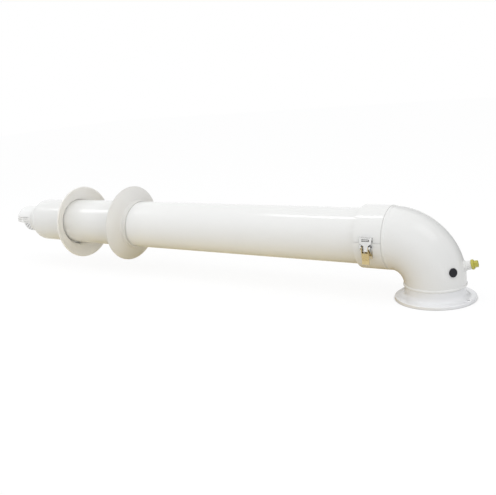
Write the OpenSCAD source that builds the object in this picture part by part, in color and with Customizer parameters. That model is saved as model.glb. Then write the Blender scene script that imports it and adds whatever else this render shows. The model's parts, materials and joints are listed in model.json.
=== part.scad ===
// Horizontal coaxial flue kit: a flanged 90 degree elbow, a latched clamp, a straight double pipe,
// two sliding wall plates and a hooded terminal.
// The origin is the centre of the elbow flange's lower face. +Z runs up the elbow's vertical leg,
// and the pipe runs along -X. Millimetres.

/* [Air pipe] */
// Outside diameter of the air pipe
air_d = 100; // [90:1:125]
// Wall of the air pipe
air_wall = 1.5; // [1:0.1:2]
// Length of the air pipe
air_len = 770; // [500:1:1500]

/* [Flue pipe] */
// Outside diameter of the flue pipe
flue_d = 60; // [50:1:64]
// Wall of the flue pipe
flue_wall = 1; // [0.6:0.1:1.5]
// Centring spacers along the pipe
spacer_count = 3; // [2:1:5]
// Depth of the socket that takes the flue pipe
socket_len = 44; // [34:1:60]

/* [Elbow] */
// Radius of the bend at its centre line
bend_r = 72; // [60:1:90]
// Height of the straight neck under the bend
neck_h = 29; // [24:0.5:45]
// How much wider than the air pipe the shell is above the flange
neck_step = 3; // [2:0.5:6]
// How much wider than the air pipe the shell is at its mouth
mouth_step = 11; // [8:0.5:16]
// Wall of the shell
elbow_wall = 1.5; // [1:0.1:2]

/* [Flange] */
// Width of the flange outside the shell
flange_w = 16; // [14:0.5:30]
// Height of the flange's turned-down edge
flange_h = 4.5; // [4:0.5:6]
// Sheet thickness of the flange
flange_t = 1.5; // [1:0.1:2]
// Distance from the screw holes' centres to the flange's edge
bolt_edge = 5.5; // [5:0.1:6]
// Diameter of the screw holes
bolt_hole_d = 5; // [4:0.5:5.5]
// Screw holes in the flange
bolt_count = 2; // [2:1:4]

/* [Clamp] */
// Width of the clamp band
band_w = 50; // [44:1:60]
// Sheet thickness of the band
band_t = 1; // [0.8:0.1:1.2]
// Room under the band for the seal
band_room = 5.4; // [4.5:0.1:7]
// Gap in the band behind the latch
split_gap = 1.2; // [1:0.1:2]

/* [Latch] */
// Where the latch sits, from the top of the pipe towards -Y, in degrees
latch_angle = 98; // [90:1:110]
// Width of the lever
lever_w = 13; // [12:0.5:15]
// Length of the lever below its pivot
lever_len = 28; // [24:1:36]
// Width of the hook plate
hook_w = 22; // [20:0.5:24]
// Sheet thickness of the latch
latch_t = 1.2; // [1:0.1:1.4]

/* [Wall plates] */
// Width of a wall plate outside the air pipe
plate_w = 32; // [25:1:50]
// Depth of a plate from its rim to the end of its hub
plate_depth = 28; // [24:1:34]
// Bare pipe between the exterior plate and the terminal
plate_setback = 4.5; // [0:0.5:40]
// Thickness of the wall between the two plates
wall_t = 150; // [100:1:450]
// Lean of the interior plate on the pipe
inside_plate_lean = 5; // [0:0.5:5.5]

/* [Terminal] */
// Outside length of the straight terminal body
terminal_len = 89; // [74:1:120]
// Length of the rounded shoulder
shoulder_len = 35; // [28:1:50]
// Length of the hood's straight part
hood_run = 31; // [24:1:50]
// Height of the hood's edge under the pipe axis
hood_cut = 3.5; // [2:0.5:10]
// Diameter of the holes in hood and guard
vent_d = 3; // [2:0.5:3.5]

/* [Test point] */
// How far round the bend the test points stand, in degrees
port_turn = 13; // [11:1:20]
// Direction of the sampling plug, round the bend from the outside of the curve
plug_side = -35; // [-50:1:-30]
// Direction of the test spigot, round the bend from the outside of the curve
spigot_side = 8; // [0:1:20]
// Diameter of the sampling plug's head
plug_d = 15; // [13:0.5:17]
// Outside diameter of the test spigot
spigot_d = 15; // [13:0.5:17]
// How far the spigot stands out of the shell
spigot_len = 11; // [8:0.5:14]

/* [Hidden] */
$fn = 96;

white = [0.93, 0.93, 0.91];
plate_white = [0.86, 0.85, 0.82];
steel = [0.72, 0.72, 0.73];
aluminium = [0.78, 0.79, 0.80];
black_rubber = [0.13, 0.13, 0.14];
grey_rubber = [0.35, 0.35, 0.36];
cap_yellow = [0.80, 0.78, 0.30];

gap = 0.3;      // clearance between parts that move apart
fit = 0.05;     // clearance of a seal or a running fit
past = 1;       // how far a cut runs past the face it opens

air_r = air_d / 2;
air_bore_r = air_r - air_wall;
flue_r = flue_d / 2;
flue_bore_r = flue_r - flue_wall;
axis_h = neck_h + bend_r;
low_r = air_r + neck_step / 2;
mouth_r = air_r + mouth_step / 2;
flange_r = low_r + flange_w;
bolt_circle_r = flange_r - bolt_edge;

// Along the pipe
band_gap = 0.5;
joint_x = -bend_r - band_gap - band_w / 2;
air_end = joint_x - gap / 2 - air_len;
flue_start = joint_x + 12;
socket_run = -bend_r - flue_start - 2;
terminal_lap = 15;
terminal_wall = 1.2;
terminal_r = air_bore_r - fit;
shoulder_x = air_end - terminal_len;
collar_x = shoulder_x - shoulder_len;
collar_len = 3;
flue_end = collar_x - collar_len - 4;
shoulder_turn = 0.4;
guard_run = 21;
guard_dome = flue_r - 11;

// Bend: an even number of sides and steps keeps its rings square to the centre line
bend_sides = 48;
bend_steps = 15;

// Flange
bead_h = 4;
bead_z = neck_h - bead_h - 2.5;
bead_r = low_r + 0.4;
neck_r = low_r - 1;
sleeve_r = low_r - elbow_wall - 0.8;
sleeve_top = neck_h + 7;
flare_r = 9;
edge_round = 1.5;
bolt_pad_d = 12;
bolt_pad_h = 0.8;
bolt_foot_d = bolt_hole_d + 4;
bolt_turn = -15;
gasket_h = 2.7;

// Flue bend: its foot, the stop that ends the spigot, and the spacer over it
foot_z = 1;
stop_w = 1.2;
stop_h = 2.5;
bend_spacer_h = 7;
stop_z = neck_h - bend_spacer_h - 1 - stop_h;
socket_play = 0.4;
groove_depth = 3;
groove_h = 6;

// Clamp
band_r = air_r + band_room + band_t;
split_v = 10.4;
split_angle = latch_angle - arc(split_v);
seal_h = band_room - 0.8;
seal_w = band_w - 6;
seal_rib_count = 4;

// Latch: v runs up along the band, w stands out from it, both from the point at latch_angle
plate_lift = 0.1;
plate_top_r = band_r + plate_lift + latch_t;
base_top_v = 6.1;
base_foot_v = 18.7;
pivot_v = 3;
pivot_w = 6.2;
pivot_r = 1.5;
hook_pin_v = pivot_v - 5.8;
hook_pin_w = pivot_w - 1.6;
hook_pin_r = 1.2;
wall_x = lever_w / 2 - latch_t;
ear_x = lever_w / 2 + 0.4;
eye_r = 3;
lip_v = 15.6;
lip_t = 1.2;
lip_w = lever_w - 0.4;
keeper_w = hook_w + 2;
keeper_from_v = 9.8;
keeper_to_v = 1.6;
rivet_r = 1.6;
rivet_head_r = 2.6;
rivet_head_h = 0.8;

// Wall plates
hub_wall = 1.5;
hub_bore_r = air_r + 1.7;
hub_len = 11.5;
dish_t = 2.3;
dish_depth = plate_depth - hub_len;
rim_h = 2.2;
outside_plate_at = -air_end - plate_setback - plate_depth;
inside_plate_at = outside_plate_at - wall_t;

// Test point
port_r = low_r + (mouth_r - low_r) * port_turn / 90;
tube_d = 8;
spigot_bore_d = tube_d + 1;
spigot_foot = 0.6;
cap_stem_len = 5;
cap_flange_d = spigot_d + 2;
cap_flange_h = 3.9;
cap_knob_h = 6.2;
cap_knob_d = 12;

// The angle of a length along the outside of the clamp band
function arc(length) = length / band_r * 180 / PI;

// Places its children with +Z along the pipe towards the terminal, +X up
module along_pipe(x) {
    translate([x, 0, axis_h]) rotate([0, -90, 0]) children();
}

// Places its children on the bend: +Z stands out of the shell, from its centre line
module at_bend(turn, side) {
    translate([-bend_r, 0, neck_h]) rotate([0, -turn, 0]) translate([bend_r, 0, 0])
        rotate([0, 0, side]) rotate([0, 90, 0]) children();
}

// Places its children on the clamp band at the latch: X along the pipe, Y = v, Z = w
module at_latch() {
    translate([joint_x, 0, axis_h]) rotate([latch_angle, 0, 0]) translate([0, 0, band_r]) children();
}

// Extrudes a profile drawn in v and w across the latch, from the distance from to the distance to
module across(from, to) {
    translate([from, 0, 0]) rotate([90, 0, 90]) linear_extrude(to - from) children();
}

// The same on both sides of the latch
module both_sides(from, to) {
    across(from, to) children();
    across(-to, -from) children();
}

// A tube from a profile of radius and height
module ring(r_in, r_out, h) {
    rotate_extrude() translate([r_in, 0]) square([r_out - r_in, h]);
}

// A curved sheet on the band between two angles from the top of the pipe
module band_sheet(r_in, t, from, to, w) {
    translate([joint_x + w / 2, 0, axis_h]) rotate([0, -90, 0]) rotate([0, 0, -to])
        rotate_extrude(angle = to - from) translate([r_in, 0]) square([t, w]);
}

// One ring of points round the bend's centre line
function bend_ring(turn, drop, inset) =
    let (r = low_r + (mouth_r - low_r) * turn / 90 - inset)
    [for (i = [0 : bend_sides - 1])
        let (a = 360 * i / bend_sides, reach = bend_r + r * cos(a))
        [-bend_r + reach * cos(turn), r * sin(a), neck_h + reach * sin(turn) - drop]];

// The two skins of the bend, outer rings first
function bend_points(drop) =
    [for (inset = [0, elbow_wall])
        for (k = [-1 : bend_steps])
            each bend_ring(90 * max(k, 0) / bend_steps, k < 0 ? drop : 0, inset)];

// Two triangles for each patch of a skin; flip turns them to face inwards
function patch(a, b, c, d, flip) = flip ? [[a, c, d], [a, b, c]] : [[a, d, c], [a, c, b]];
function skin_faces(first, flip) =
    [for (k = [0 : bend_steps], i = [0 : bend_sides - 1])
        let (j = (i + 1) % bend_sides, low = first + k * bend_sides, high = low + bend_sides)
        each patch(low + i, low + j, high + j, high + i, flip)];
function rim_faces(outer, inner, flip) =
    [for (i = [0 : bend_sides - 1])
        let (j = (i + 1) % bend_sides)
        each patch(outer + i, outer + j, inner + j, inner + i, flip)];

module bend_shell(drop) {
    skin = (bend_steps + 2) * bend_sides;
    last = (bend_steps + 1) * bend_sides;
    polyhedron(
        points = bend_points(drop),
        faces = concat(skin_faces(0, false), skin_faces(skin, true),
            rim_faces(0, skin, true), rim_faces(last, skin + last, false)));
}

// Cuts the shell at a test point, through its wall and no further
module port_hole(d) {
    reach = elbow_wall + 4;
    translate([0, 0, port_r - reach]) cylinder(d = d, h = 2 * reach);
}

// Tapered bend, with a stepped spigot that the clamp closes on
module elbow_shell() {
    color(white) difference() {
        union() {
            bend_shell(neck_h - bead_z - bead_h - gap);
            along_pipe(-bend_r + elbow_wall) {
                ring(air_bore_r, mouth_r - elbow_wall / 2, elbow_wall);
                ring(air_bore_r, air_r, -bend_r + elbow_wall - joint_x - gap / 2);
            }
        }
        at_bend(port_turn, plug_side) port_hole(plug_d - 2);
        at_bend(port_turn, spigot_side) port_hole(tube_d + 2 * gap);
    }
}

// Places its children at each screw hole of the flange
module at_bolts() {
    for (i = [0 : bolt_count - 1])
        rotate([0, 0, bolt_turn + 360 * i / bolt_count]) translate([bolt_circle_r, 0, 0]) children();
}

// Pressed flange: turned-down edge, flared skirt, groove, stop bead and sleeve
module connection_flange() {
    plate_top = flange_h;
    skirt_r = neck_r + flare_r;
    sheet_r = sleeve_r - flange_t;
    color(white) difference() {
        union() {
            rotate_extrude() difference() {
                union() {
                    translate([sheet_r, 0]) square([flange_r - edge_round - sheet_r, plate_top]);
                    translate([flange_r - edge_round, 0]) square([edge_round, plate_top - edge_round]);
                    translate([flange_r - edge_round, plate_top - edge_round])
                        circle(r = edge_round, $fn = 48);
                    translate([sheet_r, 0]) square([skirt_r - sheet_r, plate_top + flare_r]);
                    translate([sheet_r, 0]) square([neck_r - sheet_r, bead_z + bead_h]);
                    translate([sheet_r, 0]) square([bead_r - bead_h / 2 - sheet_r, bead_z + bead_h]);
                    translate([bead_r - bead_h / 2, bead_z + bead_h / 2]) circle(d = bead_h, $fn = 48);
                    translate([sheet_r, 0]) square([flange_t, sleeve_top]);
                }
                translate([skirt_r, plate_top + flare_r]) circle(r = flare_r, $fn = 96);
                translate([neck_r, plate_top + flare_r])
                    square([flare_r + past, bead_z - plate_top - flare_r]);
                translate([sleeve_r, -past]) square([flange_r - flange_t - sleeve_r,
                    plate_top - flange_t + past]);
            }
            at_bolts() {
                cylinder(d = bolt_foot_d, h = plate_top);
                translate([0, 0, plate_top - flange_t / 2])
                    cylinder(d1 = bolt_pad_d, d2 = bolt_pad_d - 3, h = bolt_pad_h + flange_t / 2);
            }
        }
        at_bolts() translate([0, 0, -past])
            cylinder(d = bolt_hole_d, h = plate_top + bolt_pad_h + 2 * past);
    }
}

// Soft ring in the flange's underside
module flange_gasket() {
    color(grey_rubber) difference() {
        ring(sleeve_r + gap, flange_r - flange_t - gap, gasket_h);
        at_bolts() translate([0, 0, -past]) cylinder(d = bolt_foot_d + 2 * gap, h = gasket_h + 2 * past);
    }
}

// Flue bend inside the elbow: boiler end, bend, and a socket with a seal groove
module inner_bend() {
    socket_bore_r = flue_r + socket_play;
    groove_r = socket_bore_r + groove_depth;
    groove_at = socket_run + socket_len - groove_h - 3;
    color(aluminium) difference() {
        union() {
            translate([0, 0, foot_z]) cylinder(r = flue_r, h = neck_h - foot_z);
            translate([0, 0, stop_z]) cylinder(r = flue_r + stop_w, h = stop_h);
            translate([-bend_r, 0, neck_h]) rotate([90, 0, 0])
                rotate_extrude(angle = 90) translate([bend_r, 0]) circle(r = flue_r);
            along_pipe(-bend_r) {
                cylinder(r = flue_r, h = socket_run);
                translate([0, 0, socket_run - flue_wall])
                    cylinder(r = socket_bore_r + flue_wall, h = socket_len + flue_wall);
                translate([0, 0, groove_at - flue_wall])
                    cylinder(r = groove_r + flue_wall, h = groove_h + 2 * flue_wall);
            }
        }
        translate([0, 0, foot_z - past]) cylinder(r = flue_bore_r, h = neck_h - foot_z + past);
        translate([-bend_r, 0, neck_h]) rotate([90, 0, 0])
            rotate_extrude(angle = 90) translate([bend_r, 0]) circle(r = flue_bore_r);
        along_pipe(-bend_r) {
            cylinder(r = flue_bore_r, h = socket_run + past);
            translate([0, 0, socket_run]) cylinder(r = socket_bore_r, h = socket_len + past);
            translate([0, 0, groove_at]) cylinder(r = groove_r, h = groove_h);
        }
        at_bend(port_turn, spigot_side) translate([0, 0, flue_r / 2]) cylinder(d = tube_d - 2, h = flue_r);
    }
}

// Lip seal in the socket's groove
module socket_seal() {
    seal_h = groove_h - 2 * gap;
    body_r = flue_r + 1.2;
    back_r = flue_r + socket_play + groove_depth - 0.1;
    color(black_rubber) along_pipe(-bend_r - socket_run - socket_len + groove_h + 3 - gap)
        rotate_extrude() polygon([
            [back_r, 0], [back_r, seal_h], [body_r, seal_h], [flue_r + fit, seal_h / 2 + 1],
            [flue_r + fit, seal_h / 2 - 1], [body_r, 0]]);
}

// A spacer: a clip ring with four feet that reach the outer pipe
module spacer(inner_r, outer_r, h) {
    clip_t = 1.2;
    foot_t = 2;
    foot_w = 12;
    reach = outer_r - fit;
    ring(inner_r + fit, inner_r + fit + clip_t, h);
    intersection() {
        for (a = [45 : 90 : 315]) rotate([0, 0, a]) {
            translate([inner_r + fit + clip_t / 2, -foot_t / 2, 0])
                cube([reach - inner_r - fit, foot_t, h]);
            translate([reach - 2 * foot_t, -foot_w / 2, 0]) cube([2 * foot_t, foot_w, h]);
        }
        ring(inner_r + fit, reach, h);
    }
}

module bend_spacers() {
    color(steel) {
        translate([0, 0, neck_h - bend_spacer_h]) spacer(flue_r, sleeve_r - flange_t, bend_spacer_h);
        along_pipe(joint_x + bend_spacer_h + 1)
            spacer(flue_r + socket_play + flue_wall, air_bore_r, bend_spacer_h);
    }
}

// Tube that carries a flue gas sample from the inner bend to the test spigot
module sampling_tube() {
    color(aluminium) at_bend(port_turn, spigot_side) translate([0, 0, flue_r + 0.2])
        ring(tube_d / 2 - 1, tube_d / 2, port_r + spigot_len - cap_stem_len - 1 - flue_r);
}

// White spigot on the shell, with a foot flange round the tube
module test_spigot() {
    foot_h = 1.5;
    color(white) at_bend(port_turn, spigot_side) translate([0, 0, port_r + spigot_foot]) difference() {
        union() {
            cylinder(d = spigot_d + 3, h = foot_h);
            cylinder(d = spigot_d, h = spigot_len - spigot_foot);
        }
        translate([0, 0, -past]) cylinder(d = spigot_bore_d, h = spigot_len + 2 * past);
    }
}

// Yellow push-in cap: stem, flange and six-sided knob
module test_cap() {
    color(cap_yellow) at_bend(port_turn, spigot_side) translate([0, 0, port_r + spigot_len + gap]) {
        translate([0, 0, -cap_stem_len]) cylinder(d = spigot_bore_d - 2 * fit, h = cap_stem_len);
        cylinder(d = cap_flange_d, h = cap_flange_h - 1);
        translate([0, 0, cap_flange_h - 1]) cylinder(d1 = cap_flange_d, d2 = cap_flange_d - 2, h = 1);
        translate([0, 0, cap_flange_h]) cylinder(d = cap_knob_d, h = cap_knob_h, $fn = 6);
    }
}

// Black rubber plug in the air sampling hole
module sampling_plug() {
    head_h = 1;
    bevel = 0.6;
    head_r = plug_d / 2;
    stem_r = head_r - 1 - gap;
    stem_len = 6;
    color(black_rubber) at_bend(port_turn, plug_side) translate([0, 0, port_r + 0.4]) {
        translate([0, 0, -stem_len]) cylinder(r = stem_r, h = stem_len);
        cylinder(r = head_r, h = head_h);
        translate([0, 0, head_h]) cylinder(r1 = head_r, r2 = head_r - 1.5 * bevel, h = bevel);
    }
}

// Wide band with turned-in edges, split behind the latch
module clamp_band() {
    split = arc(split_gap);
    lip_r = air_r + 2 * gap;
    color(white) translate([joint_x + band_w / 2, 0, axis_h]) rotate([0, -90, 0])
        rotate([0, 0, -split_angle + split / 2]) rotate_extrude(angle = 360 - split) {
            translate([band_r - band_t, 0]) square([band_t, band_w]);
            for (h = [0, band_w - band_t])
                translate([lip_r, h]) square([band_r - band_t / 2 - lip_r, band_t]);
        }
}

// Ribbed seal under the band
module clamp_seal() {
    rib_w = 4;
    pitch = (seal_w - rib_w) / (seal_rib_count - 1);
    color(grey_rubber) along_pipe(joint_x + seal_w / 2) rotate_extrude() {
        translate([air_r + seal_h / 2, 0]) square([seal_h / 2, seal_w]);
        for (i = [0 : seal_rib_count - 1])
            translate([air_r + fit, i * pitch]) square([seal_h - fit - past, rib_w]);
    }
}

// Curved base plate with two ears for the lever
module latch_base() {
    top_x = ear_x + latch_t + 4.9;
    foot_x = top_x - 5;
    cut = 15;
    ear_foot_v = -14;
    color(steel) {
        difference() {
            intersection() {
                band_sheet(band_r + plate_lift, latch_t, latch_angle - arc(base_top_v),
                    latch_angle + arc(base_foot_v), 2 * hook_w);
                at_latch() translate([0, 0, -cut]) linear_extrude(2 * cut)
                    polygon([[-top_x, base_top_v + 3], [top_x, base_top_v + 3],
                        [foot_x, -base_foot_v - 3], [-foot_x, -base_foot_v - 3]]);
            }
            latch_rivet_holes();
        }
        difference() {
            at_latch() both_sides(ear_x, ear_x + latch_t) difference() {
                union() {
                    translate([pivot_v, pivot_w]) circle(r = eye_r, $fn = 48);
                    polygon([[ear_foot_v, -past], [pivot_v - eye_r, pivot_w + 0.4],
                        [pivot_v + eye_r, pivot_w], [pivot_v + eye_r, -past]]);
                }
                translate([pivot_v, pivot_w]) circle(r = pivot_r + fit, $fn = 48);
            }
            below_plate();
        }
    }
}

// Everything under the middle of the latch's curved plates, to cut what stands on them
module below_plate() {
    along_pipe(joint_x + hook_w) cylinder(r = plate_top_r - latch_t / 2, h = 2 * hook_w);
}

// Curved plate above the split, with the lip that the hook plate pulls on
module latch_keeper() {
    lip_out = 3.6;
    lip_root = 6;
    color(steel) {
        difference() {
            band_sheet(band_r + plate_lift, latch_t, split_angle - arc(keeper_from_v),
                split_angle - arc(keeper_to_v), keeper_w);
            latch_rivet_holes();
        }
        difference() {
            at_latch() translate([-lip_w / 2, lip_v, -lip_root]) cube([lip_w, lip_t, lip_root + lip_out]);
            below_plate();
        }
    }
}

// Places its children at each rivet: two under the lever, two beside the lip
module at_rivets() {
    beside_lip = (keeper_w + lip_w) / 4;
    keeper_mid = split_angle - arc((keeper_from_v + keeper_to_v) / 2);
    for (place = [[0, latch_angle + arc(2)], [0, latch_angle + arc(base_foot_v - 4)],
        [-beside_lip, keeper_mid], [beside_lip, keeper_mid]])
        translate([joint_x + place[0], 0, axis_h]) rotate([place[1], 0, 0]) children();
}

module latch_rivet_holes() {
    at_rivets() translate([0, 0, band_r - past])
        cylinder(r = rivet_r + fit, h = plate_top_r - band_r + 2 * past);
}

module latch_rivets() {
    color(steel) at_rivets() {
        translate([0, 0, plate_top_r + fit])
            cylinder(r1 = rivet_head_r, r2 = rivet_head_r - rivet_head_h, h = rivet_head_h);
        translate([0, 0, band_r + fit]) cylinder(r = rivet_r, h = plate_top_r - band_r + fit);
    }
}

// Short pins that hold the lever in the ears and leave room for the hook plate between them
module lever_pivots() {
    pin_head_h = 0.9;
    color(steel) at_latch() translate([0, pivot_v, pivot_w]) for (side = [0, 180])
        rotate([0, 90 + side, 0]) {
            translate([0, 0, wall_x - 0.2])
                cylinder(r = pivot_r, h = ear_x + latch_t + pin_head_h - wall_x);
            translate([0, 0, ear_x + latch_t + 2 * fit]) cylinder(r = pivot_r + 1, h = pin_head_h);
        }
}

// Strap lever with two side walls, open above where the hook plate swings through
module latch_lever() {
    web_w = pivot_w + 1.3;
    web_top = hook_pin_v - 2.8;
    tip_v = pivot_v - lever_len;
    tip_lift = 1.5;
    bend_v = tip_v + 6;
    wall_end_v = web_top - 8;
    wall_eye_r = eye_r - 0.4;
    color(steel) at_latch() {
        across(-lever_w / 2, lever_w / 2) polygon([[web_top, web_w], [web_top, web_w + latch_t],
            [bend_v, web_w + latch_t], [tip_v, web_w + latch_t + tip_lift], [tip_v, web_w + tip_lift],
            [bend_v, web_w]]);
        both_sides(wall_x, lever_w / 2) difference() {
            union() {
                translate([pivot_v, pivot_w]) circle(r = wall_eye_r, $fn = 48);
                polygon([[pivot_v, pivot_w + wall_eye_r], [pivot_v, pivot_w - wall_eye_r],
                    [hook_pin_v, hook_pin_w - 2.2], [hook_pin_v - 5, hook_pin_w - 1.2],
                    [wall_end_v, web_w], [wall_end_v, web_w + latch_t], [web_top, web_w + latch_t]]);
            }
            translate([pivot_v, pivot_w]) circle(r = pivot_r + fit, $fn = 48);
            translate([hook_pin_v, hook_pin_w]) circle(r = hook_pin_r + fit, $fn = 48);
        }
    }
}

// Hook plate: a tongue pinned in the lever, widening to a plate whose window catches the lip
module latch_hook() {
    tongue_x = wall_x - 0.4;
    slope = atan2(hook_pin_w - 1.4, lip_v + lip_t - hook_pin_v);
    shoulder_from = 9.2;
    shoulder_to = 14.2;
    window_from = lip_v - hook_pin_v - 1.9;
    bar_from = lip_v + lip_t + 0.6 - hook_pin_v;
    bar_w = 2.4;
    color(steel) at_latch() translate([0, hook_pin_v, hook_pin_w]) {
        rotate([-slope, 0, 0]) translate([0, 0, -latch_t / 2]) linear_extrude(latch_t) difference() {
            polygon([[-tongue_x, 0], [-tongue_x, shoulder_from], [-hook_w / 2, shoulder_to],
                [-hook_w / 2, bar_from + bar_w], [hook_w / 2, bar_from + bar_w],
                [hook_w / 2, shoulder_to], [tongue_x, shoulder_from], [tongue_x, 0]]);
            translate([-lip_w / 2 - 0.6, window_from]) square([lip_w + 1.2, bar_from - window_from]);
        }
        rotate([0, 90, 0]) {
            translate([0, 0, -tongue_x]) cylinder(r = hook_pin_r + 0.6, h = 2 * tongue_x);
            translate([0, 0, -lever_w / 2]) cylinder(r = hook_pin_r, h = lever_w);
        }
    }
}

module air_pipe() {
    color(white) along_pipe(joint_x - gap / 2) ring(air_bore_r, air_r, air_len);
}

module flue_pipe() {
    color(aluminium) along_pipe(flue_start) ring(flue_bore_r, flue_r, flue_start - flue_end);
}

module centring_spacers() {
    spacer_h = 12;
    pitch = air_len / (spacer_count + 1);
    color(steel) for (i = [1 : spacer_count])
        along_pipe(joint_x - i * pitch) spacer(flue_r, air_bore_r, spacer_h);
}

// Radius of the shoulder at a share of its length: a convex turn, then a hollow one
function shoulder_r(share, from, to) = share < shoulder_turn
    ? from - (from - to) * shoulder_turn * (1 - sqrt(1 - pow(share / shoulder_turn, 2)))
    : to + (from - to) * (1 - shoulder_turn) * (1 - sqrt(1 - pow((1 - share) / (1 - shoulder_turn), 2)));

// Sleeve in the air pipe's end, with air slots along its underside
module terminal_body() {
    slot_w = 6;
    slot_len = 14;
    slot_rows = 3;
    slot_row_turn = 12;
    slot_margin = 4;
    slot_count = floor((terminal_len - 2 * slot_margin) / (slot_len + slot_w));
    slot_pitch = (terminal_len - 2 * slot_margin) / slot_count;
    color(white) difference() {
        along_pipe(air_end + terminal_lap)
            ring(terminal_r - terminal_wall, terminal_r, terminal_lap + terminal_len);
        for (row = [0 : slot_rows - 1], i = [0 : slot_count - 1])
            translate([air_end - slot_margin - slot_pitch * (i + 0.5), 0, axis_h])
                rotate([slot_row_turn * (row - (slot_rows - 1) / 2), 0, 0])
                    translate([-slot_len / 2, -slot_w / 2, -air_r])
                        cube([slot_len, slot_w, air_r - flue_r]);
    }
}

// Rounded shoulder from the sleeve down to a collar on the flue pipe, with a rim inside the sleeve
module terminal_shoulder() {
    steps = 16;
    rim_len = 6;
    rim_r = terminal_r - terminal_wall - fit;
    collar_r = flue_r + fit + terminal_wall;
    inside_r = rim_r - terminal_wall;
    end = shoulder_len + collar_len;
    function outside(i) = shoulder_r(i / steps, terminal_r, collar_r);
    function inside(i) = min(inside_r, shoulder_r(i / steps, terminal_r, collar_r) - terminal_wall);
    color(white) along_pipe(shoulder_x) rotate_extrude() polygon(concat(
        [[inside_r, -rim_len], [rim_r, -rim_len], [rim_r, fit], [terminal_r, fit]],
        [for (i = [1 : steps]) [outside(i), shoulder_len * i / steps]],
        [[collar_r, end], [collar_r - terminal_wall, end]],
        [for (i = [steps : -1 : 0]) [inside(i), shoulder_len * i / steps - terminal_wall / 2]]));
}

// Solid of the outlet guard's outside, shrunk by inset: a cylinder closed by a shallow dome
module guard_form(inset) {
    dome_r = (pow(flue_r, 2) + pow(guard_dome, 2)) / (2 * guard_dome);
    intersection() {
        cylinder(r = flue_r - inset, h = guard_run + guard_dome);
        translate([0, 0, guard_run + guard_dome - dome_r]) sphere(r = dome_r - inset);
    }
}

// Perforated cup that closes the flue's mouth under the hood
module outlet_guard() {
    skirt_r = flue_bore_r - fit;
    skirt_len = 8;
    wall = 1;
    web = 1.8;
    pitch = vent_d + web;
    first_row = 5;
    rows = floor((guard_run - first_row) / pitch);
    span = 165;
    holes = floor(flue_r * PI * span / 180 / (pitch + 2));
    dome_pitch = pitch + 2.2;
    dome_rows = floor((flue_r - vent_d - web) / dome_pitch);
    color(aluminium) along_pipe(flue_end - gap) {
        difference() {
            guard_form(0);
            difference() {
                guard_form(wall);
                cylinder(r = flue_r, h = wall);
            }
            translate([0, 0, -past]) cylinder(r = skirt_r - wall, h = guard_run);
            for (row = [0 : rows - 1], i = [0 : holes - 1])
                rotate([0, 0, 180 + span * ((i + (row % 2) / 2 + 0.25) / holes - 0.5)])
                    translate([flue_r - wall - past, 0, first_row + row * pitch]) rotate([0, 90, 0])
                        cylinder(d = vent_d, h = wall + 2 * past);
            for (row = [1 : dome_rows])
                let (ring_r = row * dome_pitch + web + 1.2, count = floor(2 * PI * ring_r / (pitch + 2)))
                    for (i = [0 : count - 1])
                        rotate([0, 0, 360 * (i + 0.5) / count]) translate([ring_r, 0, guard_run - past])
                            cylinder(d = vent_d, h = guard_dome + 2 * past);
        }
        translate([0, 0, -skirt_len]) ring(skirt_r - wall, skirt_r, skirt_len + past);
    }
}

// Half-round hood over the outlet, closed by a quarter dome, with perforated flanks
module terminal_hood() {
    wall = 1;
    inner_r = flue_r + gap;
    outer_r = inner_r + wall;
    hem_r = wall - 0.2;
    base_h = 3;
    start = collar_x - collar_len - gap;
    rows = 3;
    pitch = vent_d + 1.6;
    first = 4;
    count = floor((hood_run + outer_r / 2 - first) / pitch);
    low_row = hood_cut - vent_d / 2 - 1.1;
    color(white) along_pipe(start) {
        ring(flue_r + fit, outer_r, base_h);
        difference() {
            rotate_extrude() difference() {
                union() {
                    translate([0, base_h]) square([outer_r, hood_run]);
                    intersection() {
                        translate([0, base_h + hood_run]) circle(r = outer_r);
                        translate([0, base_h + hood_run]) square([outer_r, outer_r]);
                    }
                }
                translate([-past, -past]) square([inner_r + past, base_h + hood_run + past]);
                translate([0, base_h + hood_run]) circle(r = inner_r);
                translate([-2 * outer_r, 0]) square([2 * outer_r, 4 * outer_r]);
            }
            translate([-2 * outer_r - hood_cut, -outer_r - past, base_h + fit])
                cube([2 * outer_r, 2 * (outer_r + past), 2 * (outer_r + hood_run)]);
            for (row = [0 : rows - 1], i = [0 : count - 1])
                translate([row * pitch - low_row, 0, base_h + first + (i + (row % 2) / 2) * pitch])
                    rotate([90, 0, 0]) cylinder(d = vent_d, h = 3 * outer_r, center = true);
        }
        for (side = [-1, 1])
            translate([-hood_cut, side * sqrt(pow(outer_r, 2) - pow(hood_cut, 2)), base_h])
                cylinder(r = hem_r, h = hood_run);
    }
}

// Dished wall plate with a long hub, drawn from its rim plane at height 0 to the hub's end
module wall_plate() {
    rim_r = air_r + plate_w;
    hub_r = hub_bore_r + hub_wall;
    steps = 10;
    bulge = 1.6;
    function dish(share, from, to) = from + (to - from) * share;
    rotate_extrude() polygon(concat(
        [[rim_r - 0.6, 0], [rim_r, 0.6], [rim_r, rim_h]],
        [for (i = [1 : steps])
            [dish(i / steps, rim_r, hub_r + 1),
                dish(i / steps, rim_h, dish_depth) + bulge * sin(180 * i / steps)]],
        [[hub_r, dish_depth + 1], [hub_r, plate_depth - 0.5], [hub_r - 0.5, plate_depth],
            [hub_bore_r, plate_depth], [hub_bore_r, dish_depth + 1]],
        [for (i = [steps : -1 : 0])
            [dish(i / steps, rim_r - dish_t, hub_bore_r + 3),
                dish(i / steps, 0, dish_depth - dish_t) + bulge * sin(180 * i / steps)]]));
}

module exterior_wall_plate() {
    color(plate_white) along_pipe(-outside_plate_at)
        translate([air_r + gap - hub_bore_r, 0, 0]) wall_plate();
}

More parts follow.
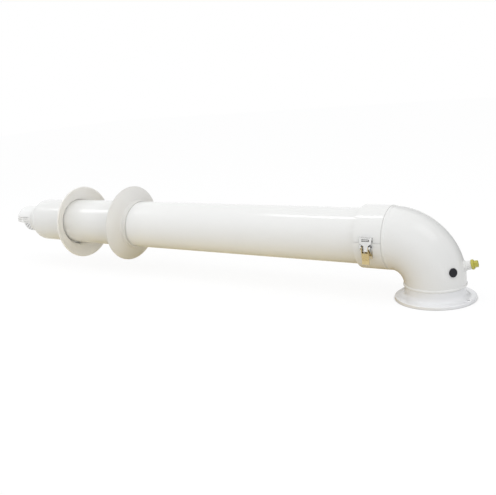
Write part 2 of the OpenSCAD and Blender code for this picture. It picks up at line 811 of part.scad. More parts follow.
// The interior plate faces the other way and leans on the pipe
module interior_wall_plate() {
    hub_mid = plate_depth - hub_len / 2;
    hang = hub_bore_r * cos(inside_plate_lean) - hub_len / 2 * sin(inside_plate_lean) - air_r - gap;
    color(plate_white) translate([-inside_plate_at + hub_mid, 0, axis_h - hang])
        rotate([0, 90 + inside_plate_lean, 0]) translate([0, 0, -hub_mid]) wall_plate();
}

elbow_shell();
connection_flange();
flange_gasket();
inner_bend();
bend_spacers();
socket_seal();
sampling_tube();
test_spigot();
test_cap();
sampling_plug();
clamp_band();
clamp_seal();
latch_base();
latch_keeper();
latch_rivets();
lever_pivots();
latch_lever();
latch_hook();
air_pipe();
flue_pipe();
centring_spacers();
terminal_body();
terminal_shoulder();
terminal_hood();
outlet_guard();
exterior_wall_plate();
interior_wall_plate();
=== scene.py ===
import json
import math

import bmesh
import bpy
from mathutils import Matrix, Vector


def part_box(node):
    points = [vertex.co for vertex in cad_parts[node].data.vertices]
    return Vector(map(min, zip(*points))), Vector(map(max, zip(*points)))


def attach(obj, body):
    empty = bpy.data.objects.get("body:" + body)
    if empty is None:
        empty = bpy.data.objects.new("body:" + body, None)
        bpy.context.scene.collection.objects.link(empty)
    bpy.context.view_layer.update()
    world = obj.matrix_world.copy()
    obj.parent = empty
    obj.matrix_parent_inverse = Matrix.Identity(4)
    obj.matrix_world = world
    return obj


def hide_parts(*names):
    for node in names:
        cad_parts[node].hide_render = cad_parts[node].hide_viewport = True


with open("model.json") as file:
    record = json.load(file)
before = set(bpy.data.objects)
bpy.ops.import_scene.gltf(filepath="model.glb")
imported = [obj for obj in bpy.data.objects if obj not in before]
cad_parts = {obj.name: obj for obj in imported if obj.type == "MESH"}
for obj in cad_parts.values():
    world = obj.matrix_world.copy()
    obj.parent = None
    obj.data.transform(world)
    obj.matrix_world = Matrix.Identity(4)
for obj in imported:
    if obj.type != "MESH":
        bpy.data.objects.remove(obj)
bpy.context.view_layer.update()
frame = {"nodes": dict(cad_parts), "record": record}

NODES = frame["nodes"]

# Photograph's width in pixels and the camera that was fitted to it, in metres and degrees
PHOTO_WIDTH = 496
CAMERA_AZIMUTH = 34.49
CAMERA_ELEVATION = 13.62
CAMERA_ROLL = -5.14
CAMERA_FOCAL_PX = 669.02
CAMERA_TARGET = Vector((-0.45, 0.0, 0.1))
CAMERA_OFFSET = (-0.06369, 0.03899, 1.36596)
SENSOR_MM = 36.0

# Driving sizes of the elbow, as in the CAD, in metres
AXIS_H = 0.101
BEND_R = 0.072
BEND_Z = AXIS_H - BEND_R
SHELL_LOW_R = 0.0515
SHELL_MOUTH_R = 0.0555
SHELL_WALL = 0.0015
AIR_R = 0.05

# Rolled rim at the elbow's mouth: its width, its height, and its reach past the bend towards the band
RIM_W = 0.005
RIM_H = 0.0007
RIM_REACH = 0.0003

# Openings in the shell: degrees round the bend, then for each the degrees round the shell and the radius
PORT_TURN = 13.0
SPIGOT_SIDE = 8.0
SPIGOT_HOLE_R = 0.0043
PLUG_SIDE = -35.0
PLUG_HOLE_R = 0.0065

# Rolled bead between flange and shell, as a closed outline of (radius, height)
BEAD_OUTLINE = ((0.0512, 0.0274), (0.0517, 0.0272), (0.0524, 0.0266), (0.0528, 0.0258), (0.0529, 0.0248),
                (0.0526, 0.0238), (0.0519, 0.0229), (0.051, 0.0225), (0.0503, 0.0225), (0.0503, 0.0262))

# Clamp band: outer radius, sheet, and the split's angle from the top towards the front
BAND_R = 0.0564
BAND_T = 0.001
BAND_SPLIT = math.radians(87.4)

# Wall plates: bore and outside of the hub, its length, the whole depth, and the interior plate's lean
HUB_BORE_R = 0.0517
HUB_R = 0.0532
HUB_LEN = 0.0115
PLATE_DEPTH = 0.028
PLATE_LEAN = math.radians(5.0)

# Lamps: place, target, size, power in watts and spread in degrees
LAMPS = {
    "overhead_strip": ((-0.76, -0.09, 1.3), (-0.76, 0.0, 0.1), (0.52, 0.13), 1.5, 180.0),
    "far_strip": ((-2.05, -0.42, 1.3), (-0.8, 0.0, 0.1), (0.3, 0.4), 1.6, 180.0),
    "front_fill": ((0.9, -2.2, 1.2), (-0.4, 0.0, 0.1), (2.2, 1.6), 4.2, 180.0),
    "elbow_fill": ((0.7, -0.1, 1.2), (0.0, 0.0, 0.1), (0.7, 0.7), 2.0, 180.0),
    "plate_fill": ((0.5, -0.62, 0.22), (-0.85, 0.0, 0.12), (0.4, 0.4), 0.13, 35.0),
    "plate_back_fill": ((0.4, 0.7, 0.7), (-0.76, 0.0, 0.12), (0.4, 0.4), 0.045, 35.0),
}

# World light: its colour, its strength at the horizon and overhead, and its share on the near and far side
SKY_COLOUR = (0.985, 0.99, 1.0, 1)
SKY_STRENGTH = (0.74, 1.04)
SKY_SHARE = (1.0, 0.6)
SKY_SIDES = (-0.2, 1.3)

# Floor: middle and size, and the colours that it throws up beside the pipe, under it and by the elbow
FLOOR_MIDDLE = (-0.45, 0.0, -0.0005)
FLOOR_SIZE = 14.0
FLOOR_PLAIN = (0.68, 0.68, 0.68)
FLOOR_UNDER_PIPE = (0.76, 0.66, 0.42)
FLOOR_BY_ELBOW = (0.55, 0.4, 0.15)

# Warm strip of the floor, in the floor's own frame: its half-widths, its fades past the terminal and under
# the elbow, and the fade into the colour by the elbow
STRIP_SIDES = (0.06, 0.26)
STRIP_TERMINAL_FADE = (-0.66, -0.52)
STRIP_ELBOW_FADE = (0.38, 0.5)
STRIP_BY_ELBOW = (0.27, 0.35)

# Floor as it shows: a dim colour under a glow that falls from open floor to the object's edge, a painted
# contact shadow
FLOOR_SHOWN = (0.12, 0.12, 0.12, 1)
FLOOR_GLOW = (0.35, 0.89)
CONTACT_SHADOW_REACH = 0.004

# Card that the elbow's gloss shows: outline in x and z, how far back it stands, its slope and its tone
FLAG_OUTLINE = ((0.01, 0.0), (0.34, 0.0), (0.34, 0.62), (-0.2, 0.62), (-0.2, 0.26), (-0.1, 0.22),
                (-0.02, 0.18), (0.01, 0.12))
FLAG_BACK = 0.24
FLAG_SLOPE = 0.3
FLAG_TONE = (0.2, 0.2, 0.2, 1)


def new_material(name):
    material = bpy.data.materials.new(name)
    material.use_nodes = True
    tree = material.node_tree
    tree.nodes.clear()
    out = tree.nodes.new("ShaderNodeOutputMaterial")
    shader = tree.nodes.new("ShaderNodeBsdfPrincipled")
    tree.links.new(shader.outputs["BSDF"], out.inputs["Surface"])
    return material, tree, shader


def noise(tree, scale, detail=3.0, rough=0.5, stretch=(1, 1, 1)):
    """Noise in the part's own frame; stretch squeezes it along an axis for drawn or brushed marks."""
    place = tree.nodes.new("ShaderNodeTexCoord")
    mapping = tree.nodes.new("ShaderNodeMapping")
    mapping.inputs["Scale"].default_value = stretch
    texture = tree.nodes.new("ShaderNodeTexNoise")
    texture.inputs["Scale"].default_value = scale
    texture.inputs["Detail"].default_value = detail
    texture.inputs["Roughness"].default_value = rough
    tree.links.new(place.outputs["Object"], mapping.inputs["Vector"])
    tree.links.new(mapping.outputs["Vector"], texture.inputs["Vector"])
    return texture.outputs["Fac"]


def spread(tree, source, low, high, from_low=0.3, from_high=0.7):
    """Maps a noise to a number between low and high."""
    node = tree.nodes.new("ShaderNodeMapRange")
    node.inputs["From Min"].default_value = from_low
    node.inputs["From Max"].default_value = from_high
    node.inputs["To Min"].default_value = low
    node.inputs["To Max"].default_value = high
    tree.links.new(source, node.inputs["Value"])
    return node.outputs["Result"]


def two_tones(tree, source, first, second, from_low=0.3, from_high=0.7):
    ramp = tree.nodes.new("ShaderNodeValToRGB")
    ramp.color_ramp.elements[0].position = from_low
    ramp.color_ramp.elements[0].color = (*first, 1)
    ramp.color_ramp.elements[1].position = from_high
    ramp.color_ramp.elements[1].color = (*second, 1)
    tree.links.new(source, ramp.inputs["Fac"])
    return ramp.outputs["Color"]


def mix_colours(tree, factor, first, second):
    node = tree.nodes.new("ShaderNodeMix")
    node.data_type = "RGBA"
    tree.links.new(factor, node.inputs["Factor"])
    for socket, value in (("A", first), ("B", second)):
        port = [s for s in node.inputs if s.name == socket and s.type == "RGBA"][0]
        if isinstance(value, tuple):
            port.default_value = (*value, 1)
        else:
            tree.links.new(value, port)
    return [s for s in node.outputs if s.type == "RGBA"][0]


def calculate(tree, operation, first, second=None):
    node = tree.nodes.new("ShaderNodeMath")
    node.operation = operation
    for port, value in zip(node.inputs, (first, second)):
        if isinstance(value, float):
            port.default_value = value
        elif value is not None:
            tree.links.new(value, port)
    return node.outputs[0]


def bump(tree, shader, sources):
    """Chains bump nodes: sources are (height, strength, distance in metres)."""
    normal = None
    for height, strength, distance in sources:
        node = tree.nodes.new("ShaderNodeBump")
        node.inputs["Strength"].default_value = strength
        node.inputs["Distance"].default_value = distance
        tree.links.new(height, node.inputs["Height"])
        if normal is not None:
            tree.links.new(normal, node.inputs["Normal"])
        normal = node.outputs["Normal"]
    tree.links.new(normal, shader.inputs["Normal"])


def edge_wear(tree, radius_scale=1.0):
    """1 on outer edges, 0 elsewhere, from the mesh's own pointiness."""
    geometry = tree.nodes.new("ShaderNodeNewGeometry")
    return spread(tree, geometry.outputs["Pointiness"], 0.0, 1.0, 0.52, 0.52 + 0.06 * radius_scale)


def enamel(name, tone, dust):
    """Glossy stove enamel: faint orange peel, soft cloudiness and a trace of handling dust."""
    material, tree, shader = new_material(name)
    clouds = noise(tree, 9.0, 4.0, 0.6)
    specks = noise(tree, 420.0, 2.0, 0.7)
    clean = two_tones(tree, clouds, tone, tuple(min(1.0, c * 1.02) for c in tone))
    dusty = tuple(c * s for c, s in zip(tone, dust))
    shader.inputs["Base Color"].default_value = (*tone, 1)
    tree.links.new(mix_colours(tree, spread(tree, specks, 0.0, 1.0, 0.66, 0.8), clean, dusty),
                   shader.inputs["Base Color"])
    tree.links.new(spread(tree, noise(tree, 35.0, 5.0, 0.65), 0.12, 0.2), shader.inputs["Roughness"])
    shader.inputs["Specular IOR Level"].default_value = 0.4
    shader.inputs["Coat Weight"].default_value = 0.1
    shader.inputs["Coat Roughness"].default_value = 0.06
    peel, waves = noise(tree, 260.0, 2.0, 0.4), noise(tree, 28.0, 2.0, 0.5)
    bump(tree, shader, [(peel, 0.05, 0.0004), (waves, 0.05, 0.001)])
    return material


def moulded(name, tone, deep, roughness, grain=900.0, grain_depth=0.12):
    """Moulded plastic: fine grain, and slightly deeper colour in large soft patches."""
    material, tree, shader = new_material(name)
    patches = noise(tree, 14.0, 4.0, 0.6)
    tree.links.new(two_tones(tree, patches, tone, deep, 0.25, 0.75), shader.inputs["Base Color"])
    tree.links.new(spread(tree, noise(tree, 60.0, 4.0, 0.6), roughness - 0.06, roughness + 0.08),
                   shader.inputs["Roughness"])
    shader.inputs["Specular IOR Level"].default_value = 0.45
    bump(tree, shader, [(noise(tree, grain, 2.0, 0.5), grain_depth, 0.0002)])
    return material


def metal(name, tone, deep, roughness, stretch, scale=180.0, shade_reach=0.0):
    """Bare metal with marks drawn along one axis, and painted shade that darkens it within the shade reach of
    a corner.
    """
    material, tree, shader = new_material(name)
    marks = noise(tree, scale, 4.0, 0.6, stretch)
    stains = noise(tree, 22.0, 4.0, 0.6)
    colour = mix_colours(tree, spread(tree, stains, 0.0, 1.0), two_tones(tree, marks, deep, tone), tone)
    if shade_reach:
        # Painted shade: ambient occlusion darkens the colour in corners and gaps, standing in for their
        # shadow
        crease_shade = tree.nodes.new("ShaderNodeAmbientOcclusion")
        crease_shade.inputs["Distance"].default_value = shade_reach
        shaded_tone = tuple(c * 0.22 for c in tone)
        colour = mix_colours(tree, spread(tree, crease_shade.outputs["AO"], 1.0, 0.0, 0.35, 0.9), colour, shaded_tone)
    tree.links.new(colour, shader.inputs["Base Color"])
    shader.inputs["Metallic"].default_value = 1.0
    tree.links.new(spread(tree, marks, roughness - 0.07, roughness + 0.1), shader.inputs["Roughness"])
    bump(tree, shader, [(marks, 0.08, 0.0002)])
    return material


def rubber(name, tone, bloom):
    """Moulded rubber: nearly matt, with a paler bloom on its outer edges."""
    material, tree, shader = new_material(name)
    patches = noise(tree, 70.0, 4.0, 0.6)
    worn = mix_colours(tree, edge_wear(tree, 2.0), tone, bloom)
    tree.links.new(mix_colours(tree, spread(tree, patches, 0.0, 0.5), worn, bloom),
                   shader.inputs["Base Color"])
    tree.links.new(spread(tree, patches, 0.5, 0.7), shader.inputs["Roughness"])
    shader.inputs["Specular IOR Level"].default_value = 0.3
    bump(tree, shader, [(noise(tree, 700.0, 2.0, 0.5), 0.15, 0.0002)])
    return material


MATERIALS = {
    "white_enamel": enamel("white_enamel", (0.83, 0.83, 0.815), (0.92, 0.9, 0.86)),
    "flange_enamel": enamel("flange_enamel", (0.855, 0.86, 0.87), (0.95, 0.94, 0.93)),
    # A lighter copy of the white enamel for the hood: painted light on its shaded underside
    "hood_enamel_lit": enamel("hood_enamel_lit", (0.9, 0.9, 0.89), (0.95, 0.94, 0.92)),
    "plate_plastic": moulded("plate_plastic", (0.9, 0.885, 0.85), (0.88, 0.865, 0.825), 0.38),
    # A darker copy of the plate plastic for the interior plate: painted shade
    "plate_plastic_shaded": moulded("plate_plastic_shaded", (0.73, 0.72, 0.695), (0.705, 0.695, 0.665), 0.38),
    "white_plastic": moulded("white_plastic", (0.80, 0.79, 0.77), (0.78, 0.77, 0.75), 0.3),
    "flue_aluminium": metal("flue_aluminium", (0.78, 0.78, 0.77), (0.66, 0.66, 0.65), 0.34, (0.1, 1, 1)),
    "spring_steel": metal("spring_steel", (0.62, 0.61, 0.6), (0.5, 0.5, 0.5), 0.3, (1, 1, 0.1)),
    # The latch's two metals take painted shade within 3 mm of a corner (the last argument)
    "latch_steel": metal("latch_steel", (0.78, 0.78, 0.77), (0.6, 0.6, 0.59), 0.2, (0.2, 1, 1), 320.0, 0.003),
    "latch_lever": metal("latch_lever", (0.66, 0.52, 0.27), (0.52, 0.44, 0.24), 0.26, (1, 1, 0.2), 320.0,
                         0.003),
    "black_rubber": rubber("black_rubber", (0.008, 0.008, 0.011), (0.018, 0.018, 0.023)),
    "grey_rubber": rubber("grey_rubber", (0.55, 0.55, 0.54), (0.62, 0.62, 0.61)),
    "cap_plastic": moulded("cap_plastic", (0.56, 0.52, 0.09), (0.5, 0.46, 0.07), 0.33),
}

# Nodes that differ from the rest of their slot: the interior plate's darker copy of the plate plastic is
# painted shade, the hood's lighter copy of the enamel is painted light
OWN_MATERIAL = {"latch_lever": "latch_lever", "interior_wall_plate": "plate_plastic_shaded",
                "connection_flange": "flange_enamel", "terminal_hood": "hood_enamel_lit"}


def smooth_by_angle(mesh, degrees=35.0):
    """Smooth faces, with the edges sharper than the angle kept sharp."""
    form = bmesh.new()
    form.from_mesh(mesh)
    for face in form.faces:
        face.smooth = True
    for edge in form.edges:
        edge.smooth = not edge.is_manifold or edge.calc_face_angle(0.0) < math.radians(degrees)
    form.to_mesh(mesh)
    form.free()


def paint(obj, slot):
    obj.data.materials.clear()
    obj.data.materials.append(MATERIALS[slot])


def new_piece(name, form, body, slot, *replaced):
    """A mesh piece from a bmesh: it rides on a body and stands for the CAD nodes that it replaces."""
    mesh = bpy.data.meshes.new(name)
    bmesh.ops.recalc_face_normals(form, faces=form.faces)
    form.to_mesh(mesh)
    form.free()
    obj = bpy.data.objects.new(name, mesh)
    bpy.context.scene.collection.objects.link(obj)
    smooth_by_angle(mesh)
    paint(obj, slot)
    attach(obj, body)
    if replaced:
        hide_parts(*replaced)
    return obj


def loft(form, rings, closed):
    """Joins rings of equal length with quads; a closed loft joins its last ring to the first."""
    count = len(rings[0])
    rows = [[form.verts.new(p) for p in ring] for ring in rings]
    last = len(rows) if closed else len(rows) - 1
    for k in range(last):
        low, high = rows[k], rows[(k + 1) % len(rows)]
        for i in range(count):
            j = (i + 1) % count
            form.faces.new((low[i], low[j], high[j], high[i]))


def bend_point(turn, along, radius, angle):
    """A point of the elbow: turn degrees round the bend and along metres past it, at a radius and angle."""
    t = math.radians(turn)
    reach = BEND_R + radius * math.cos(angle)
    point = Vector((-BEND_R + reach * math.cos(t), radius * math.sin(angle), BEND_Z + reach * math.sin(t)))
    return point + along * Vector((-math.sin(t), 0.0, math.cos(t)))


def shell_r(turn):
    """Outer radius of the tapered bend."""
    return SHELL_LOW_R + (SHELL_MOUTH_R - SHELL_LOW_R) * turn / 90.0


def port_frame(side):
    """The middle of an opening on the shell's outside, and the direction that it faces."""
    middle = bend_point(PORT_TURN, 0.0, shell_r(PORT_TURN), math.radians(side))
    return middle, (middle - bend_point(PORT_TURN, 0.0, 0.0, 0.0)).normalized()


def drill(form, middle, facing, radius, depth, sides=48):
    """Cuts a round opening in a closed form."""
    cutter = bmesh.new()
    body = bpy.data.meshes.new("body")
    place = Matrix.Translation(middle) @ facing.to_track_quat("Z", "Y").to_matrix().to_4x4()
    bmesh.ops.create_cone(cutter, cap_ends=True, segments=sides, radius1=radius, radius2=radius,
                          depth=2 * depth, matrix=place)
    tool = bpy.data.meshes.new("tool")
    cutter.to_mesh(tool)
    cutter.free()
    bmesh.ops.recalc_face_normals(form, faces=form.faces)
    form.to_mesh(body)
    objects = [bpy.data.objects.new(mesh.name, mesh) for mesh in (body, tool)]
    for obj in objects:
        bpy.context.scene.collection.objects.link(obj)
    cut = objects[0].modifiers.new("cut", "BOOLEAN")
    cut.operation = "DIFFERENCE"
    cut.solver = "EXACT"
    cut.object = objects[1]
    depsgraph = bpy.context.evaluated_depsgraph_get()
    result = bpy.data.meshes.new_from_object(objects[0].evaluated_get(depsgraph))
    form.clear()
    form.from_mesh(result)
    for obj in objects:
        bpy.data.objects.remove(obj)
    for mesh in (body, tool, result):
        bpy.data.meshes.remove(mesh)


def elbow_shell():
    """The tapered bend as one smooth skin, from its seat on the flange to its rolled rim and collar."""
    sides = 128
    steps = 64
    rim_steps = 10
    low_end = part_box("elbow_shell")[0].z
    mouth = -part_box("elbow_shell")[0].x - BEND_R
    edge = 0.0004

    def skin(inset, turn_share, angle):
        """Below the rim: a share of the way from the foot to the rim's plane, square to the pipe."""
        last = math.degrees(math.acos(RIM_W / (BEND_R + (SHELL_MOUTH_R - inset) * math.cos(angle))))
        turn = last * turn_share
        return bend_point(turn, 0.0, shell_r(90.0 * turn_share) - inset, angle)

    def collar(back, radius, angle):
        """A point back metres from the mouth's plane, on the shell's side of it."""
        return Vector((back - BEND_R, radius * math.sin(angle), AXIS_H + radius * math.cos(angle)))

    def rim(share, angle):
        bulge = RIM_H * math.sin(math.pi * share) ** 0.7
        return collar(RIM_W - (RIM_W + RIM_REACH) * share, SHELL_MOUTH_R + bulge, angle)

    outer = [lambda a: bend_point(0.0, low_end - BEND_Z, SHELL_LOW_R - edge, a),
             lambda a: bend_point(0.0, low_end - BEND_Z + edge, SHELL_LOW_R, a)]
    outer += [lambda a, k=k: skin(0.0, k / steps, a) for k in range(steps + 1)]
    outer += [lambda a, k=k: rim(k / rim_steps, a) for k in range(1, rim_steps + 1)]
    steps_down = ((RIM_REACH, AIR_R + 0.001), (RIM_REACH + 0.001, AIR_R), (mouth - edge, AIR_R),
                  (mouth, AIR_R - edge))
    outer += [lambda a, b=b, r=r: collar(-b, r, a) for b, r in steps_down]
    inner = [lambda a, b=b: collar(-b, AIR_R - SHELL_WALL, a) for b in (mouth, 0.0)]
    inner += [lambda a, k=k: skin(SHELL_WALL, k / steps, a) for k in range(steps, -1, -1)]
    inner += [lambda a: bend_point(0.0, low_end - BEND_Z, SHELL_LOW_R - SHELL_WALL, a)]
    turns = [2 * math.pi * i / sides for i in range(sides)]
    form = bmesh.new()
    loft(form, [[point(a) for a in turns] for point in outer + inner], True)
    for side, radius in ((SPIGOT_SIDE, SPIGOT_HOLE_R), (PLUG_SIDE, PLUG_HOLE_R)):
        drill(form, *port_frame(side), radius, 4 * SHELL_WALL)
    return new_piece("elbow_skin", form, "elbow", "white_enamel", "elbow_shell")


def lathe(outline, middle, facing, sides=64):
    """Turns a closed outline of (radius, height) points about a line through middle."""
    place = Matrix.Translation(middle) @ facing.to_track_quat("Z", "Y").to_matrix().to_4x4()
    turns = [2 * math.pi * i / sides for i in range(sides)]
    form = bmesh.new()
    loft(form, [[place @ Vector((r * math.cos(a), r * math.sin(a), h)) for a in turns] for r, h in outline],
         True)
    return form


def test_spigot():
    """Moulded spigot whose flared foot sits down on the shell."""
    bore = 0.0045
    outside = 0.0075
    foot = 0.0092
    top = 0.011
    foot_top = 0.0023
    sunk = -0.0016
    edge = 0.0004
    flare = [(foot, sunk), (foot, 0.001), (foot - 0.0003, 0.0015), (foot - 0.0009, 0.0019)]
    neck = [(outside, foot_top + 0.0003), (outside, top - edge), (outside - edge, top), (bore + edge, top),
            (bore, top - edge), (bore, sunk)]
    return new_piece("spigot_body", lathe(flare + neck, *port_frame(SPIGOT_SIDE)), "elbow", "white_enamel",
                     "test_spigot")


def neck_bead():
    """Rolled bead over the flange's pressed one, which closes the seam under the shell."""
    form = lathe(BEAD_OUTLINE, Vector(), Vector((0.0, 0.0, 1.0)), 128)
    return new_piece("neck_bead", form, "elbow", "white_enamel")


def clamp_bridge():
    """Thin strip under the band's split, between the band's turned-in edges."""
    inside = BAND_R - BAND_T - 0.0001
    thick = 0.0006
    edge = 0.0014
    half_arc = math.radians(5.0)
    steps = 12
    low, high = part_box("clamp_band")
    ends = (low.x + edge, high.x - edge)
    arc = [BAND_SPLIT + half_arc * (2 * k / steps - 1) for k in range(steps + 1)]
    loop = [(inside, a) for a in arc] + [(inside - thick, a) for a in reversed(arc)]
    form = bmesh.new()
    loft(form, [[Vector((x, -r * math.sin(a), AXIS_H + r * math.cos(a))) for r, a in loop] for x in ends],
         False)
    for x in ends:
        form.faces.new([v for v in form.verts if abs(v.co.x - x) < 1e-6])
    return new_piece("clamp_bridge", form, "clamp", "white_enamel")


def plate_lip(name, body, material, middle, lean, along):
    """Thin soft lip between a plate's hub and the pipe, which stands along metres from the hub's middle."""
    sides = 96
    thick = 0.0008
    play = 0.00015
    sunk = 0.0004

    def ring(x, radius, tilt, centre):
        """A ring square to the pipe, as the leaning bore would be cut there."""
        rise = centre.z - math.tan(tilt) * (x - centre.x)
        turns = (2 * math.pi * i / sides for i in range(sides))
        return [Vector((x, radius * math.sin(a), rise + radius / math.cos(tilt) * math.cos(a)))
                for a in turns]

    x = middle.x + along
    axis = Vector((x, 0.0, AXIS_H))
    form = bmesh.new()
    loft(form, [ring(x, AIR_R + play, 0.0, axis), ring(x + thick, AIR_R + play, 0.0, axis),
                ring(x + thick, HUB_BORE_R + sunk, lean, middle), ring(x, HUB_BORE_R + sunk, lean, middle)],
         True)
    lip = new_piece(name, form, body, "plate_plastic")
    paint(lip, material)


def plate_lips():
    """A lip at the far end of the exterior plate's hub and one at the near end of the interior plate's."""
    low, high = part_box("exterior_wall_plate")
    middle = Vector((low.x + HUB_LEN / 2, 0.0, (low.z + high.z) / 2))
    plate_lip("exterior_plate_lip", "exterior_plate", "plate_plastic", middle, 0.0, -0.0045)
    low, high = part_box("interior_wall_plate")
    middle = Vector((high.x - HUB_LEN / 2 * math.cos(PLATE_LEAN) - HUB_R * math.sin(PLATE_LEAN), 0.0,
                     (low.z + high.z) / 2 - (PLATE_DEPTH - HUB_LEN / 2) * math.sin(PLATE_LEAN)))
    # The interior plate's lip takes the plate's darker copy, painted shade
    plate_lip("interior_plate_lip", "interior_plate", "plate_plastic_shaded", middle, PLATE_LEAN, 0.0)


def finish_nodes():
    """Every CAD node that shows gets its slot's material."""
    for entry in frame["record"]["subparts"]:
        obj = NODES[entry["node"]]
        paint(obj, OWN_MATERIAL.get(entry["node"], entry["material_slot"]))


def add_camera():
    az, el, roll = (math.radians(a) for a in (CAMERA_AZIMUTH, CAMERA_ELEVATION, CAMERA_ROLL))
    back = Vector((math.sin(az) * math.cos(el), -math.cos(az) * math.cos(el), math.sin(el)))
    level = Vector((math.cos(az), math.sin(az), 0.0))
    upright = back.cross(level)
    right = math.cos(roll) * level + math.sin(roll) * upright
    up = math.cos(roll) * upright - math.sin(roll) * level
    place = CAMERA_TARGET - CAMERA_OFFSET[0] * right - CAMERA_OFFSET[1] * up + CAMERA_OFFSET[2] * back
    data = bpy.data.cameras.new("camera")
    data.sensor_fit = "HORIZONTAL"
    data.sensor_width = SENSOR_MM
    data.lens = CAMERA_FOCAL_PX / PHOTO_WIDTH * SENSOR_MM
    data.clip_end = 50.0
    camera = bpy.data.objects.new("camera", data)
    bpy.context.scene.collection.objects.link(camera)
    camera.matrix_world = Matrix((
        (right.x, up.x, back.x, place.x),
        (right.y, up.y, back.y, place.y),
        (right.z, up.z, back.z, place.z),
        (0, 0, 0, 1)))
    bpy.context.scene.camera = camera


def area_light(name, place, target, size, power, spread_deg):
    data = bpy.data.lights.new(name, "AREA")
    data.shape = "RECTANGLE"
    data.size, data.size_y = size
    data.energy = power
    data.spread = math.radians(spread_deg)
    lamp = bpy.data.objects.new(name, data)
    bpy.context.scene.collection.objects.link(lamp)
    lamp.location = place
    lamp.rotation_euler = (Vector(target) - Vector(place)).to_track_quat("-Z", "Y").to_euler()


def shown_ray(tree, reflected=1.0):
    """1 for rays from the camera, off a glossy surface or through glass, 0 for rays that light the object."""
    path = tree.nodes.new("ShaderNodeLightPath")
    glossy = calculate(tree, "MULTIPLY", path.outputs["Is Glossy Ray"], reflected)
    direct = calculate(tree, "MAXIMUM", path.outputs["Is Camera Ray"], path.outputs["Is Transmission Ray"])
    return calculate(tree, "MAXIMUM", direct, glossy)


def add_lights():
    for name, settings in LAMPS.items():
        area_light(name, *settings)
    world = bpy.data.worlds.new("studio")
    world.use_nodes = True
    tree = world.node_tree
    tree.nodes.clear()
    out = tree.nodes.new("ShaderNodeOutputWorld")
    seen, light, mix = (tree.nodes.new(kind) for kind in
                        ("ShaderNodeBackground", "ShaderNodeBackground", "ShaderNodeMixShader"))
    seen.inputs["Color"].default_value = (1, 1, 1, 1)
    seen.inputs["Strength"].default_value = 1.0
    light.inputs["Color"].default_value = SKY_COLOUR
    direction = tree.nodes.new("ShaderNodeTexCoord")
    axes = tree.nodes.new("ShaderNodeSeparateXYZ")
    tree.links.new(direction.outputs["Generated"], axes.inputs["Vector"])
    upwards = spread(tree, axes.outputs["Z"], *SKY_STRENGTH, 0.0, 1.0)
    to_far_side = calculate(tree, "ADD", axes.outputs["X"], axes.outputs["Y"])
    share = spread(tree, to_far_side, *SKY_SHARE, *SKY_SIDES)
    tree.links.new(calculate(tree, "MULTIPLY", upwards, share), light.inputs["Strength"])
    tree.links.new(shown_ray(tree), mix.inputs["Fac"])
    tree.links.new(light.outputs["Background"], mix.inputs[1])
    tree.links.new(seen.outputs["Background"], mix.inputs[2])
    tree.links.new(mix.outputs["Shader"], out.inputs["Surface"])
    bpy.context.scene.world = world


def below_pipe(tree, from_x, to_x, rising=False):
    """1 on the floor below the pipe, fading to 0 beside it and from one place along it to another."""
    place = tree.nodes.new("ShaderNodeTexCoord")
    axes = tree.nodes.new("ShaderNodeSeparateXYZ")
    tree.links.new(place.outputs["Object"], axes.inputs["Vector"])
    near = spread(tree, calculate(tree, "ABSOLUTE", axes.outputs["Y"]), 1.0, 0.0, *STRIP_SIDES)
    start, end = (0.0, 1.0) if rising else (1.0, 0.0)
    along = spread(tree, axes.outputs["X"], start, end, from_x, to_x)
    past_terminal = spread(tree, axes.outputs["X"], 0.0, 1.0, *STRIP_TERMINAL_FADE)
    return calculate(tree, "MULTIPLY", near, calculate(tree, "MULTIPLY", along, past_terminal))


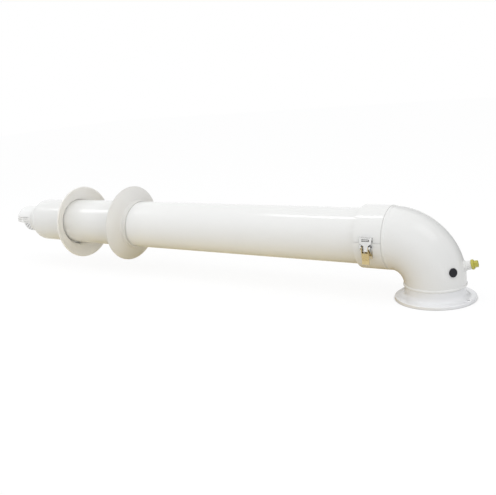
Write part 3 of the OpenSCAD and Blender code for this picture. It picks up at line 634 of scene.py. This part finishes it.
def add_floor():
    """A pale floor that looks white, keeps a soft shadow, carries a painted contact shadow at the object's
    edge and throws a warm light up at the object.
    """
    bpy.ops.mesh.primitive_plane_add(size=FLOOR_SIZE, location=FLOOR_MIDDLE)
    floor = bpy.context.object
    floor.name = "floor"
    material = bpy.data.materials.new("floor")
    material.use_nodes = True
    tree = material.node_tree
    tree.nodes.clear()
    out = tree.nodes.new("ShaderNodeOutputMaterial")
    warm, pale, glow = (tree.nodes.new(kind) for kind in
                        ("ShaderNodeBsdfDiffuse", "ShaderNodeBsdfDiffuse", "ShaderNodeEmission"))
    both, mix = tree.nodes.new("ShaderNodeAddShader"), tree.nodes.new("ShaderNodeMixShader")
    below = below_pipe(tree, *STRIP_ELBOW_FADE)
    strip = mix_colours(tree, below, FLOOR_PLAIN, FLOOR_UNDER_PIPE)
    by_elbow = calculate(tree, "MULTIPLY", below, below_pipe(tree, *STRIP_BY_ELBOW, rising=True))
    tree.links.new(mix_colours(tree, by_elbow, strip, FLOOR_BY_ELBOW), warm.inputs["Color"])
    pale.inputs["Color"].default_value = FLOOR_SHOWN
    glow.inputs["Color"].default_value = (1, 1, 1, 1)
    # Painted shadow: ambient occlusion dims the floor's glow where the object stands on or near it
    contact_shadow = tree.nodes.new("ShaderNodeAmbientOcclusion")
    contact_shadow.inputs["Distance"].default_value = CONTACT_SHADOW_REACH
    tree.links.new(spread(tree, contact_shadow.outputs["AO"], *FLOOR_GLOW, 0.3, 0.95), glow.inputs["Strength"])
    tree.links.new(pale.outputs["BSDF"], both.inputs[0])
    tree.links.new(glow.outputs["Emission"], both.inputs[1])
    tree.links.new(shown_ray(tree, calculate(tree, "SUBTRACT", 1.0, below)), mix.inputs["Fac"])
    tree.links.new(warm.outputs["BSDF"], mix.inputs[1])
    tree.links.new(both.outputs["Shader"], mix.inputs[2])
    tree.links.new(mix.outputs["Shader"], out.inputs["Surface"])
    floor.data.materials.append(material)


def add_flag():
    """A dark card behind the elbow, seen only in its gloss, which draws the shell's outer edge."""
    form = bmesh.new()
    form.faces.new([form.verts.new((x, FLAG_BACK + FLAG_SLOPE * z, z)) for x, z in FLAG_OUTLINE])
    mesh = bpy.data.meshes.new("flag")
    form.to_mesh(mesh)
    form.free()
    card = bpy.data.objects.new("flag", mesh)
    bpy.context.scene.collection.objects.link(card)
    material, _, shader = new_material("flag")
    shader.inputs["Base Color"].default_value = FLAG_TONE
    mesh.materials.append(material)
    card.visible_camera = False
    card.visible_diffuse = False
    card.visible_shadow = False
    card.visible_transmission = False


add_camera()
add_lights()
add_floor()
add_flag()
finish_nodes()
elbow_shell()
test_spigot()
neck_bead()
clamp_bridge()
plate_lips()

bpy.context.scene.view_settings.view_transform = "Standard"
